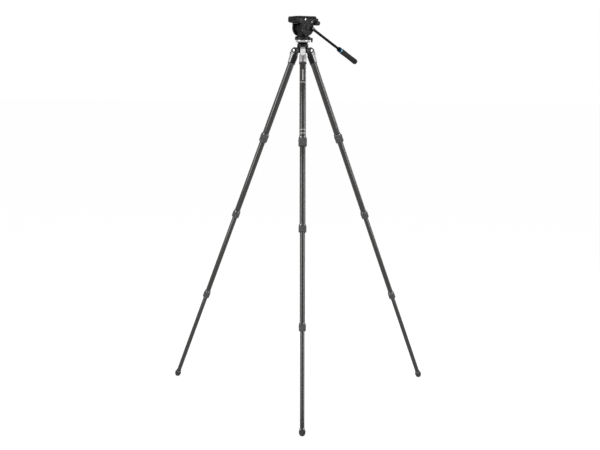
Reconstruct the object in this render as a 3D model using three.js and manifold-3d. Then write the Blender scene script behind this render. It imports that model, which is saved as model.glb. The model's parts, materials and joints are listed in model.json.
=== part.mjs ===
// A four-section carbon-fibre video tripod with a levelling bowl and a fluid head.
// Millimetres, +Z up. The three legs stand on the floor at z = 0, the front leg points along -Y,
// and the origin is on the floor under the middle of the bounding box.
import * as THREE from 'three';
import { mergeVertices } from 'three/addons/utils/BufferGeometryUtils.js';
import Module from 'manifold-3d';

const wasm = await Module();
wasm.setup();

// ---- Driving dimensions -------------------------------------------------------------------

const GAP = 0.35; // clearance between pieces that touch
const SIDES = 18; // facets round a tube or a collar
const KNOB_SIDES = 16; // facets round a small turned piece

const LEG_SPREAD = 22.4; // degrees between a leg and the vertical, at the first angle stop
const LEG_AZIMUTHS = { front: -90, right: 30, left: 150 };
const HIP_RADIUS = 32; // from the tripod's axis to each leg's pivot
const HIP_HEIGHT = 1500;

const WALL = 1.2; // tube wall
const TUBE_RADII = [14, 12.4, 10.8, 9.2];
const SECTION_ENDS = [429, 798, 1206, 1599]; // distance down the leg from pivot to each section's end
const TUBE_OVERLAP = 62; // length of each tube that stays inside the one above it
const SOCKET_TOP = 24.3; // distance from the pivot to the top of the first tube
const COLLAR_LENGTHS = [42, 34, 34];
const COLLAR_GRIP = 5; // how far a collar stands out from its tube
const COLLAR_LIP = 2.7;
const FOOT_HEIGHT = 23;
const FOOT_RADIUS = 14;

const BARREL_RADIUS = 11; // the leg's hinge barrel, between two ears of the apex
const BARREL_WIDTH = 23;
const EAR_THICKNESS = 6.5;
const BOLT_RADIUS = 4;
const SHOULDER_LENGTH = 62;

const HUB_RADIUS = 20.3;
const HUB_BOTTOM = 1488;
const BOWL_RIM = 1526;
const BOWL_RADIUS = 24;
const LEVEL_CENTRE = 1543; // centre of the levelling ball, at its flat top
const SEAT_RADIUS = 27.7;
const LEVEL_KNOB_HEIGHT = 1520;
const BALL_RADIUS = 25.4;

const HEAD_YAW = 217; // degrees from +X to the way the lens would point
const BASE_RADIUS = 34;
const PAN_LOCK_AZIMUTH = -28; // degrees from +X, like HEAD_YAW
const BASE_TOP = 1553;
const TURNTABLE_RADIUS = 33;
const TILT_HEIGHT = 1594;
const CHEEK_RADIUS = 34.5;
const DRUM_RADIUS = 26;
const DRUM_HALF = 21.2; // half the drum's length along the tilt axis
const CHEEK_FACE = 33; // from the head's middle to a cheek's outer face
const SHAFT_RADIUS = 6;

const DECK_BOTTOM = 20; // heights above the tilt axis from here on
const DECK_TOP = 40;
const DECK_HALF_WIDTH = 30;
const CHANNEL_FLOOR = 30.2;
const CHANNEL_END = 45.2; // how far ahead of the tilt axis the plate's channel ends
const NOSE_TOP = 48.5; // the deck rises ahead of the channel
const PLATE_BACK = -55;
const PLATE_FRONT = 40;
const PLATE_HALF_WIDTH = 24.5;
const PLATE_TOP = 46;
const PAD_TOP = 50;
const VIAL_PLACE = 52; // how far ahead of the tilt axis the bubble vial is
const VIAL_SEAT = 42;
const BUTTON = { x: 10, z: 35.5 };
const DECK_SCREW = { x: -25, z: 25 };
const KNOB_PLACE = -50; // how far ahead of the tilt axis the plate lock knob is

const BAR_ROOT = { x: -20, y: 39.4, z: -3 };
const BAR_DROP = 30; // degrees below the horizontal
const BAR_RADIUS = 5;
const BAR_LENGTH = 283; // from the clamp's middle to the grip's end
const GRIP_START = 166;

// ---- Shape helpers ------------------------------------------------------------------------

const rad = THREE.MathUtils.degToRad;

// A geometry turned round the Z axis from [radius, height] points, counter-clockwise.
function turned(points, sides = KNOB_SIDES) {
  const profile = points.map(([r, z]) => new THREE.Vector2(r, z));
  return new THREE.LatheGeometry(profile, sides).rotateX(Math.PI / 2);
}

function rod(radius, low, high, sides = KNOB_SIDES) {
  return turned([[0, low], [radius, low], [radius, high], [0, high]], sides);
}

function ring(inner, outer, low, high, sides = SIDES) {
  return turned([[inner, low], [outer, low], [outer, high], [inner, high], [inner, low]], sides);
}

// A geometry standing along +Y instead of +Z.
function alongY(geometry) {
  return geometry.rotateX(-Math.PI / 2);
}

// An outline of [x, z] points, or a THREE.Shape, made as thick as y runs from low to high.
function sideways(outline, low, high) {
  const shape = outline instanceof THREE.Shape ? outline : shapeOf(outline);
  const geometry = new THREE.ExtrudeGeometry(shape, {
    depth: high - low, bevelEnabled: false, curveSegments: 8,
  });
  return geometry.rotateX(Math.PI / 2).translate(0, high, 0);
}

// An outline of [x, y] points, or a THREE.Shape, raised from z = low to high.
function upright(outline, low, high) {
  const shape = outline instanceof THREE.Shape ? outline : shapeOf(outline);
  const geometry = new THREE.ExtrudeGeometry(shape, {
    depth: high - low, bevelEnabled: false, curveSegments: 8,
  });
  return geometry.translate(0, 0, low);
}

// Turns a piece raised along +Z from a [y, z] section so that it lies along +X.
const ALONG_X = new THREE.Matrix4().set(0, 0, 1, 0, 1, 0, 0, 0, 0, 1, 0, 0, 0, 0, 0, 1);

function shapeOf(points) {
  return new THREE.Shape(points.map(([x, y]) => new THREE.Vector2(x, y)));
}

function box(x0, x1, y0, y1, z0, z1) {
  return new THREE.BoxGeometry(x1 - x0, y1 - y0, z1 - z0)
    .translate((x0 + x1) / 2, (y0 + y1) / 2, (z0 + z1) / 2);
}

function solidOf(geometry) {
  const bare = geometry.clone();
  bare.deleteAttribute('normal');
  bare.deleteAttribute('uv');
  const merged = mergeVertices(bare, 1e-4);
  return new wasm.Manifold(new wasm.Mesh({
    numProp: 3,
    vertProperties: new Float32Array(merged.attributes.position.array),
    triVerts: new Uint32Array(merged.index.array),
  }));
}

function geometryOf(solid) {
  const mesh = solid.getMesh();
  const geometry = new THREE.BufferGeometry();
  geometry.setAttribute('position', new THREE.BufferAttribute(mesh.vertProperties, 3));
  geometry.setIndex(new THREE.BufferAttribute(mesh.triVerts, 1));
  return geometry;
}

function joined(...geometries) {
  return geometryOf(geometries.map(solidOf).reduce((whole, next) => whole.add(next)));
}

function cut(geometry, ...tools) {
  return geometryOf(tools.map(solidOf).reduce((left, tool) => left.subtract(tool), solidOf(geometry)));
}

function common(first, second) {
  return geometryOf(solidOf(first).intersect(solidOf(second)));
}

// ---- Materials ----------------------------------------------------------------------------

function finish(color, roughness, metalness = 0) {
  return new THREE.MeshStandardMaterial({ color, roughness, metalness });
}

const carbon = finish(0x3a3836, 0.35, 0.2);
const silver = finish(0xb9b6b8, 0.35, 0.9);
const blackCasting = finish(0x1b1b1d, 0.45, 0.3);
const blackPlastic = finish(0x161617, 0.55);
const rubber = finish(0x232325, 0.85);
const steel = finish(0xc9c9cc, 0.25, 1);
const navy = finish(0x0b2236, 0.4, 0.6);
const blue = finish(0x5fa9d6, 0.35, 0.7);
const vialGreen = finish(0xb8d24a, 0.1);

function piece(name, geometry, material) {
  const mesh = new THREE.Mesh(geometry, material);
  mesh.name = name;
  return mesh;
}

// ---- Legs: X points away from the tripod's axis, Z up the leg, origin on the pivot ---------

function shoulder() {
  const side = [
    [-10, -4], [9, 7], [13, 3], [16, -16], [17, -34], [17.6, -50], [15.6, -SHOULDER_LENGTH],
    [-15.2, -SHOULDER_LENGTH], [-15.2, -28], [-11, -14],
  ];
  const half = BARREL_WIDTH / 2;
  const barrel = alongY(rod(BARREL_RADIUS, -half, half, SIDES));
  const socket = rod(15.6, -SHOULDER_LENGTH, -28, SIDES);
  return cut(
    joined(sideways(side, -half, half), barrel, socket),
    rod(TUBE_RADII[0] + GAP, -SHOULDER_LENGTH - 1, -SOCKET_TOP, SIDES),
    alongY(rod(BOLT_RADIUS + GAP, -half - 1, half + 1)),
    box(8, 18, -5.4, 5.4, -20.4, -11.6), // the pocket that the angle tab's pawl slides in
  );
}

function angleTab() {
  const outline = new THREE.Shape();
  outline.moveTo(-10.5, -2).lineTo(-10.5, -22);
  outline.absellipse(0, -22, 10.5, 8.5, Math.PI, 2 * Math.PI, false);
  outline.lineTo(10.5, -2);
  const plate = upright(outline, 0, 3.2).applyMatrix4(ALONG_X).translate(17.9, 0, 0);
  return joined(plate, box(9.5, 18.5, -5, 5, -20, -12));
}

function tube(level) {
  const top = level ? SECTION_ENDS[level - 1] - TUBE_OVERLAP : SOCKET_TOP + GAP;
  const last = level === TUBE_RADII.length - 1;
  const end = SECTION_ENDS[level] - (last ? GAP : COLLAR_LIP + GAP);
  return ring(TUBE_RADII[level] - WALL, TUBE_RADII[level], -end, -top);
}

// The twist-lock collar round the end of a tube, with a lip round the tube that slides in it.
function collar(level) {
  const z = -SECTION_ENDS[level];
  const bore = TUBE_RADII[level] + 0.5;
  const lipBore = TUBE_RADII[level + 1] + 0.5;
  const grip = TUBE_RADII[level] + COLLAR_GRIP;
  const top = z + COLLAR_LENGTHS[level];
  return turned([
    [lipBore, z], [grip - 2.6, z], [grip - 0.2, z + 5], [grip - 0.9, z + 14], [grip, top - 9],
    [grip - 2.4, top], [bore, top], [bore, z + COLLAR_LIP], [lipBore, z + COLLAR_LIP], [lipBore, z],
  ], SIDES);
}

// A rubber foot with its threaded plug inside the last tube, worn flat where it meets the floor.
function foot() {
  const z = -SECTION_ENDS[3];
  const plug = TUBE_RADII[3] - WALL - 0.5;
  return turned([
    [0, z - FOOT_HEIGHT], [5, z - 22.2], [9.4, z - 19], [12.6, z - 12], [FOOT_RADIUS, z - 5],
    [13, z - 1], [plug, z - 1], [plug, z + 18], [0, z + 18],
  ], SIDES);
}

function hipBolt() {
  const reach = BARREL_WIDTH / 2 + GAP + EAR_THICKNESS;
  return alongY(turned([
    [0, -reach - 3.2], [6.5, -reach - 3.2], [6.5, -reach - GAP], [BOLT_RADIUS, -reach - GAP],
    [BOLT_RADIUS, reach + GAP], [6.5, reach + GAP], [6.5, reach + 3.2], [0, reach + 3.2],
  ]));
}

function leg(name, azimuth) {
  const group = new THREE.Group();
  group.position.set(HIP_RADIUS * Math.cos(rad(azimuth)), HIP_RADIUS * Math.sin(rad(azimuth)), HIP_HEIGHT);
  group.rotation.set(0, -rad(LEG_SPREAD), rad(azimuth), 'ZYX');
  group.add(
    piece(`${name}_leg_shoulder`, shoulder(), silver),
    piece(`${name}_leg_angle_tab`, angleTab(), silver),
    piece(`${name}_leg_hip_bolt`, hipBolt(), steel),
    piece(`${name}_leg_foot`, flattened(foot()), rubber),
  );
  for (let level = 0; level < 4; level += 1) {
    group.add(piece(`${name}_leg_tube_${level + 1}`, tube(level), carbon));
    if (level < 3) group.add(piece(`${name}_leg_twist_lock_${level + 1}`, collar(level), rubber));
  }
  return group;
}

// Cuts a foot, still in its leg's frame, along the floor.
function flattened(geometry) {
  const floor = box(0, 900, -60, 60, -60, 0).translate(0, 0, -HIP_HEIGHT);
  floor.applyMatrix4(new THREE.Matrix4().makeRotationY(rad(LEG_SPREAD)));
  return cut(geometry, floor);
}

// ---- Apex and levelling base: origin on the tripod's axis, at floor level ------------------

function apex() {
  const rimAngle = THREE.MathUtils.radToDeg(Math.acos((LEVEL_CENTRE - BOWL_RIM) / SEAT_RADIUS));
  const seat = ballArc(SEAT_RADIUS, rimAngle, 0, 5);
  const hub = turned([
    [0, HUB_BOTTOM], [17, HUB_BOTTOM], [HUB_RADIUS, HUB_BOTTOM + 4], [HUB_RADIUS, 1508],
    [BOWL_RADIUS, 1514], [BOWL_RADIUS, BOWL_RIM], ...seat,
  ], 24);
  const inner = BARREL_WIDTH / 2 + GAP;
  const ears = [];
  for (const azimuth of Object.values(LEG_AZIMUTHS)) {
    const outline = new THREE.Shape();
    outline.moveTo(8, 1490).lineTo(HIP_RADIUS, HIP_HEIGHT - 12);
    outline.absarc(HIP_RADIUS, HIP_HEIGHT, 12, -Math.PI / 2, Math.PI / 2, false);
    outline.lineTo(8, 1512);
    for (const side of [-1, 1]) {
      const [low, high] = side < 0 ? [-inner - EAR_THICKNESS, -inner] : [inner, inner + EAR_THICKNESS];
      const bolt = alongY(rod(BOLT_RADIUS + GAP, low - 1, high + 1)).translate(HIP_RADIUS, 0, HIP_HEIGHT);
      ears.push(cut(sideways(outline, low, high), bolt).rotateZ(rad(azimuth)));
    }
  }
  // Each leg's barrel turns in a slot that is a little larger than itself.
  const slots = Object.values(LEG_AZIMUTHS).map((azimuth) => (
    alongY(rod(BARREL_RADIUS + 1, -inner, inner, SIDES)).translate(HIP_RADIUS, 0, HIP_HEIGHT)
      .rotateZ(rad(azimuth))
  ));
  const screwHole = alongY(rod(3.4, 15, 30)).translate(0, 0, LEVEL_KNOB_HEIGHT);
  return cut(joined(hub, ...ears), screwHole, ...slots);
}

// Points of an arc round the levelling centre, at angles measured up from straight down.
function ballArc(radius, from, to, steps) {
  return Array.from({ length: steps + 1 }, (_, i) => {
    const angle = rad(from + (to - from) * i / steps);
    return [radius * Math.sin(angle), LEVEL_CENTRE - radius * Math.cos(angle)];
  });
}

function levelLiner() {
  const outside = ballArc(26.9, 16, 46, 4);
  const inside = ballArc(26.1, 46, 16, 4);
  return turned([...outside, ...inside, outside[0]], 24);
}

function levelBall() {
  const zone = ballArc(BALL_RADIUS, 26, 68, 5);
  return turned([
    [0, zone[0][1]], ...zone, [28, LEVEL_CENTRE - 9], [31, LEVEL_CENTRE - 4],
    [31, LEVEL_CENTRE], [0, LEVEL_CENTRE],
  ], 24);
}

function levelLockKnob() {
  return alongY(turned([
    [0, 19.6], [3, 19.6], [3, BOWL_RADIUS + GAP], [4, BOWL_RADIUS + GAP], [4, 29], [8, 31], [8.6, 41],
    [6, 44], [0, 44],
  ])).translate(0, 0, LEVEL_KNOB_HEIGHT);
}

function levellingBase() {
  return [
    piece('apex', apex(), blackCasting),
    piece('level_liner', levelLiner(), blackPlastic),
    piece('level_ball', levelBall(), silver),
    piece('level_lock_knob', levelLockKnob(), blackPlastic),
  ];
}

// ---- Head: X the way the lens points, Y to its left, origin on the tilt axis ---------------

const BASE_LOW = LEVEL_CENTRE + GAP - TILT_HEIGHT;
const BASE_HIGH = BASE_TOP - TILT_HEIGHT;

function headBase() {
  const base = turned([
    [0, BASE_LOW], [BASE_RADIUS - 1, BASE_LOW], [BASE_RADIUS, BASE_LOW + 1], [BASE_RADIUS, BASE_HIGH],
    [0, BASE_HIGH],
  ], 24);
  return cut(base, onPanLockAxis(alongY(rod(2.4, 26, 40))));
}

// Turns a piece made along +Y to the pan lock's own direction, and lifts it to the base.
function onPanLockAxis(geometry) {
  return geometry.rotateZ(rad(PAN_LOCK_AZIMUTH - 90 - HEAD_YAW)).translate(0, 0, BASE_LOW + 5);
}

// A lever that turns on a radial pin and hangs down beside the base.
function panLockLever() {
  const blade = [[-4, 4], [4, 4], [5, -2], [2, -15], [-2, -15], [-5, -2]];
  const lever = joined(
    sideways(blade, BASE_RADIUS + 6, BASE_RADIUS + 11),
    alongY(rod(4, BASE_RADIUS + GAP, BASE_RADIUS + 12)),
    alongY(rod(2, 27, BASE_RADIUS + 6)),
  );
  return onPanLockAxis(lever);
}

function panHousing() {
  const turntable = rod(TURNTABLE_RADIUS, BASE_HIGH + GAP, BASE_HIGH + 5.8, 24);
  const neck = box(-19, 19, -18, 18, BASE_HIGH + 5, -8);
  const drum = alongY(turned([
    [0, -DRUM_HALF], [DRUM_RADIUS, -DRUM_HALF], [DRUM_RADIUS, DRUM_HALF], [0, DRUM_HALF],
  ], 28));
  const bore = alongY(rod(SHAFT_RADIUS + 0.4, -DRUM_HALF - 1, DRUM_HALF + 1, SIDES));
  return cut(joined(turntable, neck, drum), bore);
}

function tiltShaft() {
  return alongY(rod(SHAFT_RADIUS, -CHEEK_FACE + 1, CHEEK_FACE - 1, SIDES));
}

// A cheek carries the deck on one side of the drum. side is 1 for the left and -1 for the right.
function cheek(side) {
  const low = side > 0 ? DRUM_HALF + 0.5 : -CHEEK_FACE;
  const high = side > 0 ? CHEEK_FACE : -DRUM_HALF - 0.5;
  const disc = alongY(turned([
    [0, low], [CHEEK_RADIUS - (side < 0 ? 2.5 : 0), low], [CHEEK_RADIUS, low + 2.5],
    [CHEEK_RADIUS, high - 2.5], [CHEEK_RADIUS - (side > 0 ? 2.5 : 0), high], [0, high],
  ], 28));
  const bracket = [[-30, 0], [-33, 17], [-33, DECK_BOTTOM - GAP], [33, DECK_BOTTOM - GAP], [33, 17], [30, 0]];
  const above = box(-50, 50, -50, 50, DECK_BOTTOM - GAP, 60);
  const seat = alongY(rod(SHAFT_RADIUS + GAP, low - 1, high + 1, SIDES));
  return cut(joined(disc, sideways(bracket.reverse(), low, high)), above, seat);
}

function tiltCap() {
  return alongY(turned([
    [0, CHEEK_FACE + GAP], [10.5, CHEEK_FACE + GAP], [10.5, CHEEK_FACE + 2], [8.5, CHEEK_FACE + 4],
    [0, CHEEK_FACE + 4],
  ]));
}

function tiltLockLever() {
  const low = -CHEEK_FACE - 9;
  const high = -CHEEK_FACE - GAP;
  const hub = alongY(rod(9, low, high));
  const arm = [[-36, 3], [-38, 0], [-36, -4], [-5, -6], [5, -6], [5, 6], [-5, 6]];
  return joined(hub, sideways(arm.reverse(), low, low + 5));
}

// The deck that takes the quick-release plate, with a wedge nose and a boss for the lock knob.
function deck() {
  const side = [
    [-62, 24], [-59, DECK_BOTTOM], [34, DECK_BOTTOM], [52, 24], [64, 30], [66, 34], [63, 41],
    [56, NOSE_TOP], [CHANNEL_END, NOSE_TOP], [CHANNEL_END, DECK_TOP], [-62, DECK_TOP],
  ];
  const plan = [
    [-62, -27], [-59, -DECK_HALF_WIDTH], [36, -DECK_HALF_WIDTH], [66, -21], [66, 21],
    [36, DECK_HALF_WIDTH], [-59, DECK_HALF_WIDTH], [-62, 27],
  ];
  const body = common(sideways(side, -40, 40), upright(plan, 0, 60));
  const boss = box(-59, -41, 14, DECK_HALF_WIDTH, 11, DECK_BOTTOM + 2);
  const channel = upright([[-25, CHANNEL_FLOOR], [25, CHANNEL_FLOOR], [23, 41], [-23, 41]], -70, CHANNEL_END)
    .applyMatrix4(ALONG_X);
  const buttonWell = alongY(rod(5.5, 27.2, 31)).translate(BUTTON.x, 0, BUTTON.z);
  const buttonHole = alongY(rod(3.4, 20, 31)).translate(BUTTON.x, 0, BUTTON.z);
  const knobHole = alongY(rod(3.4, 12, 31)).translate(KNOB_PLACE, 0, DECK_BOTTOM);
  const screwHole = alongY(rod(2.9, 20, 31)).translate(DECK_SCREW.x, 0, DECK_SCREW.z);
  const vialWell = rod(4.4, VIAL_SEAT, NOSE_TOP + 5).translate(VIAL_PLACE, 0, 0);
  // The drum turns in this pocket when the deck tilts.
  const pocket = alongY(rod(DRUM_RADIUS + 0.6, -DRUM_HALF - 0.6, DRUM_HALF + 0.6, 28));
  return cut(joined(body, boss), channel, pocket, buttonWell, buttonHole, knobHole, screwHole, vialWell);
}

function bubbleVial() {
  return rod(4, VIAL_SEAT + GAP, NOSE_TOP - 1).translate(VIAL_PLACE, 0, 0);
}

function quickPlate() {
  const section = [
    [-24.4, CHANNEL_FLOOR + GAP], [24.4, CHANNEL_FLOOR + GAP], [22.5, DECK_TOP + 0.6],
    [PLATE_HALF_WIDTH, DECK_TOP + 0.6], [PLATE_HALF_WIDTH, PLATE_TOP], [-PLATE_HALF_WIDTH, PLATE_TOP],
    [-PLATE_HALF_WIDTH, DECK_TOP + 0.6], [-22.5, DECK_TOP + 0.6],
  ];
  const body = upright(section, PLATE_BACK, PLATE_FRONT).applyMatrix4(ALONG_X);
  return cut(body, rod(3.6, 20, 60), rod(9, 20, 39));
}

function platePad() {
  const [back, front, half, corner] = [PLATE_BACK + 2, PLATE_FRONT - 2, PLATE_HALF_WIDTH - 1.5, 3];
  const outline = [
    [back, -half + corner], [back + corner, -half], [front - corner, -half], [front, -half + corner],
    [front, half - corner], [front - corner, half], [back + corner, half], [back, half - corner],
  ];
  return cut(upright(outline, PLATE_TOP + GAP, PAD_TOP), rod(5, 40, 60));
}

function cameraScrew() {
  return turned([
    [0, 33], [8.5, 33], [8.5, 38.6], [3.1, 38.6], [3.1, PAD_TOP - 1], [2.5, PAD_TOP - 0.4], [0, PAD_TOP - 0.4],
  ]);
}

function plateLockKnob() {
  return alongY(turned([
    [0, 14], [3, 14], [3, DECK_HALF_WIDTH + GAP], [9, DECK_HALF_WIDTH + GAP], [10, 33], [10, 43],
    [8.5, 45], [0, 45],
  ])).translate(KNOB_PLACE, 0, DECK_BOTTOM);
}

function releaseButton() {
  return alongY(turned([
    [0, 26], [3, 26], [3, 30], [5, 30], [5, 31.8], [4, 32.6], [0, 32.6],
  ])).translate(BUTTON.x, 0, BUTTON.z);
}

function deckScrew() {
  return alongY(turned([
    [0, 22], [2.5, 22], [2.5, DECK_HALF_WIDTH + GAP], [4.5, DECK_HALF_WIDTH + GAP], [4.5, 33], [0, 33],
  ])).translate(DECK_SCREW.x, 0, DECK_SCREW.z);
}

// Moves a piece that was made along -X, at the origin, to the bar's root and tips it down.
function onBar(geometry) {
  return geometry.rotateY(-rad(BAR_DROP)).translate(BAR_ROOT.x, BAR_ROOT.y, BAR_ROOT.z);
}

// A piece turned from [distance along the bar, radius] points.
function barTurned(points, sides = KNOB_SIDES) {
  return onBar(turned(points.map(([along, r]) => [r, along]), sides).rotateY(-Math.PI / 2));
}

function barRosette() {
  return alongY(ring(2.7, 7.5, CHEEK_FACE + GAP, CHEEK_FACE + 1.2)).translate(BAR_ROOT.x, 0, BAR_ROOT.z);
}

function barClamp() {
  const low = CHEEK_FACE + 1.2 + GAP;
  const hub = alongY(rod(8, low, 45)).translate(BAR_ROOT.x, 0, BAR_ROOT.z);
  const sleeve = barTurned([[0, 0], [0, 5], [18, 5.4], [18, 0]].map(([a, r]) => [a, r ? r + 1.6 : 0]));
  const trimmed = common(sleeve, box(-100, 100, low, 45, -60, 60));
  const barBore = barTurned([[3, 0], [3, BAR_RADIUS + GAP], [30, BAR_RADIUS + GAP], [30, 0]]);
  const screwBore = alongY(rod(2.7, low - 1, 50)).translate(BAR_ROOT.x, 0, BAR_ROOT.z);
  return cut(joined(hub, trimmed), barBore, screwBore);
}

function barClampKnob() {
  return alongY(turned([
    [0, CHEEK_FACE + 0.6], [2.3, CHEEK_FACE + 0.6], [2.3, 45 + GAP], [6, 45 + GAP], [6, 48], [4.5, 49], [0, 49],
  ])).translate(BAR_ROOT.x, 0, BAR_ROOT.z);
}

function panBar() {
  return barTurned([[3 + GAP, 0], [3 + GAP, BAR_RADIUS], [GRIP_START + 60, BAR_RADIUS], [GRIP_START + 60, 0]]);
}

function barSleeve(from, to, radius, endRadius) {
  const bore = BAR_RADIUS + GAP;
  return barTurned([
    [from, bore], [from, radius - 1], [from + 1, radius], [to - 1, endRadius], [to, endRadius - 1],
    [to, bore], [from, bore],
  ]);
}

function grip() {
  const from = GRIP_START + 17;
  const body = barTurned([
    [from, 0], [from, 11.6], [from + 8, 12.2], [BAR_LENGTH - 6, 12.2], [BAR_LENGTH - 1.5, 10], [BAR_LENGTH, 7],
    [BAR_LENGTH, 0],
  ], SIDES);
  const bore = barTurned([
    [from - 5, 0], [from - 5, BAR_RADIUS + GAP], [GRIP_START + 61, BAR_RADIUS + GAP], [GRIP_START + 61, 0],
  ]);
  return cut(body, bore);
}

function head() {
  const group = new THREE.Group();
  group.position.z = TILT_HEIGHT;
  group.rotation.z = rad(HEAD_YAW);
  group.add(
    piece('head_base', headBase(), blackCasting),
    piece('pan_lock_lever', panLockLever(), blackPlastic),
    piece('pan_housing', panHousing(), blackCasting),
    piece('tilt_shaft', tiltShaft(), steel),
    piece('tilt_cheek_left', cheek(1), blackCasting),
    piece('tilt_cheek_right', cheek(-1), blackCasting),
    piece('tilt_cap', tiltCap(), blackPlastic),
    piece('tilt_lock_lever', tiltLockLever(), blackPlastic),
    piece('plate_deck', deck(), blackCasting),
    piece('bubble_vial', bubbleVial(), vialGreen),
    piece('quick_release_plate', quickPlate(), blackCasting),
    piece('plate_pad', platePad(), rubber),
    piece('camera_screw', cameraScrew(), steel),
    piece('plate_lock_knob', plateLockKnob(), blackPlastic),
    piece('plate_release_button', releaseButton(), steel),
    piece('deck_screw', deckScrew(), steel),
    piece('bar_rosette', barRosette(), steel),
    piece('bar_clamp', barClamp(), blackCasting),
    piece('bar_clamp_knob', barClampKnob(), steel),
    piece('pan_bar', panBar(), blackCasting),
    piece('grip_collar', barSleeve(GRIP_START, GRIP_START + 11, 10.5, 11), navy),
    piece('grip_ring', barSleeve(GRIP_START + 11 + GAP, GRIP_START + 17 - GAP, 10.4, 11), blue),
    piece('pan_bar_grip', grip(), rubber),
  );
  return group;
}

// ---- The whole tripod, moved so that its bounding box stands over the origin ---------------

const tripod = new THREE.Group();
for (const [name, azimuth] of Object.entries(LEG_AZIMUTHS)) tripod.add(leg(name, azimuth));
tripod.add(...levellingBase(), head());

const bounds = new THREE.Box3().setFromObject(tripod, true);
const middle = bounds.getCenter(new THREE.Vector3());
tripod.position.set(-middle.x, -middle.y, -bounds.min.z);

export default tripod;
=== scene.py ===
"""A carbon-fibre video tripod with a fluid head: looks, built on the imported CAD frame.

Shapes are made in millimetres in a local frame (a leg's, the head's or the tripod's axis), and
add_piece() puts them in the row frame in metres.
"""

import json
import math

import bmesh
import bpy
from mathutils import Matrix, Vector


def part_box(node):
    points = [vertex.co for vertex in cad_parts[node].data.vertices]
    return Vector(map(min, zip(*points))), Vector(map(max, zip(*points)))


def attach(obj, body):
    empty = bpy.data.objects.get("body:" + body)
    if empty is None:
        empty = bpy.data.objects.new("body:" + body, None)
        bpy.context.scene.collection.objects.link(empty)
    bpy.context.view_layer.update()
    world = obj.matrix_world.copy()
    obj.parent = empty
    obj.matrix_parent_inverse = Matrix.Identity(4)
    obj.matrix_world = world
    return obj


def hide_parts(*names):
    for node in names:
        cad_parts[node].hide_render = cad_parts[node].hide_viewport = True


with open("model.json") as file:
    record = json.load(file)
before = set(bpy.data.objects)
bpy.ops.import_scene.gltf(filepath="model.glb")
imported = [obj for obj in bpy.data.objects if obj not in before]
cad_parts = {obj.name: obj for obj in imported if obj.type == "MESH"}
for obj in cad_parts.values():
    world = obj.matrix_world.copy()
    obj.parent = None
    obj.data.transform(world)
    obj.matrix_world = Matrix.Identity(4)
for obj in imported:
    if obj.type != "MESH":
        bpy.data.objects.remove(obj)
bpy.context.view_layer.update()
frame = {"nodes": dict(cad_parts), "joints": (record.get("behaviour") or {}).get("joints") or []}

MM = 0.001
LEGS = ("front", "right", "left")
JOINTS = {joint["name"]: joint for joint in frame["joints"]}

# ---- Local frames -------------------------------------------------------------------------


def axes(origin, x, y, z):
    """A local frame with its origin in metres and its three axes as unit vectors."""
    place = Matrix((x, y, z)).transposed().to_4x4()
    place.translation = origin
    return place


def leg_frame(name):
    """X points away from the tripod's axis, Z up the leg, and the origin is the leg's pivot."""
    side = Vector(JOINTS[f"{name}_leg_fold"]["axis"])
    up = Vector(JOINTS[f"{name}_leg_section_2_retract"]["axis"])
    return axes(Vector(JOINTS[f"{name}_leg_fold"]["pos_m"]), side.cross(up), side, up)


def head_frame():
    """X points the way a lens would, Y along the tilt axis, and the origin is on that axis."""
    side = Vector(JOINTS["tilt"]["axis"])
    up = Vector((0, 0, 1))
    return axes(Vector(JOINTS["tilt"]["pos_m"]), side.cross(up), side, up)


def bar_frame(head):
    """Z runs down the pan bar from its clamp, X is upwards, square to the bar."""
    pivot = Vector(JOINTS["handle_angle"]["pos_m"])
    grip_low, grip_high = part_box("pan_bar_grip")
    bar_low, bar_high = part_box("pan_bar")
    along = (grip_low + grip_high - bar_low - bar_high).normalized()
    side = head.col[1].to_3d()
    return axes(pivot, side.cross(along), side, along)


HEAD = head_frame()
AXIS = Matrix.Translation(Vector((HEAD.translation.x, HEAD.translation.y, 0)))
BAR = bar_frame(HEAD)
LEG = {name: leg_frame(name) for name in LEGS}


def measured(node, place):
    """The lowest and highest corners of a CAD node in a local frame, in millimetres."""
    inverse = place.inverted()
    points = [inverse @ vertex.co / MM for vertex in frame["nodes"][node].data.vertices]
    low = Vector(min(point[i] for point in points) for i in range(3))
    high = Vector(max(point[i] for point in points) for i in range(3))
    return low, high


def azimuth(name):
    """The direction that a leg points in, seen from above, in radians."""
    outward = LEG[name].col[0]
    return math.atan2(outward.y, outward.x)


# ---- Outlines -----------------------------------------------------------------------------


def rounded(points, radius, steps=3, closed=False):
    """Rounds an outline's corners. A point may carry its own radius as a third number."""
    result = []
    count = len(points)
    for i, point in enumerate(points):
        here = Vector(point[:2])
        size = point[2] if len(point) > 2 else radius
        if size <= 0 or (not closed and i in (0, count - 1)):
            result.append(tuple(here))
            continue
        before = Vector(points[i - 1][:2]) - here
        after = Vector(points[(i + 1) % count][:2]) - here
        reach = min(size, before.length * 0.45, after.length * 0.45)
        start = here + before.normalized() * reach
        end = here + after.normalized() * reach
        for k in range(steps + 1):
            t = k / steps
            result.append(tuple(start * (1 - t) ** 2 + here * 2 * t * (1 - t) + end * t ** 2))
    return result


def arc(centre, radius, start, end, steps):
    """Points on an arc, with its angles in degrees."""
    result = []
    for k in range(steps + 1):
        angle = math.radians(start + (end - start) * k / steps)
        result.append((centre[0] + radius * math.cos(angle), centre[1] + radius * math.sin(angle)))
    return result


def oblong(length, width, steps=8):
    """A slot's outline, long in Y."""
    reach = (length - width) / 2
    return arc((0, reach), width / 2, 0, 180, steps) + arc((0, -reach), width / 2, 180, 360, steps)


def rectangle(x0, x1, y0, y1):
    return [(x0, y0), (x1, y0), (x1, y1), (x0, y1)]


# ---- Solids -------------------------------------------------------------------------------


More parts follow.
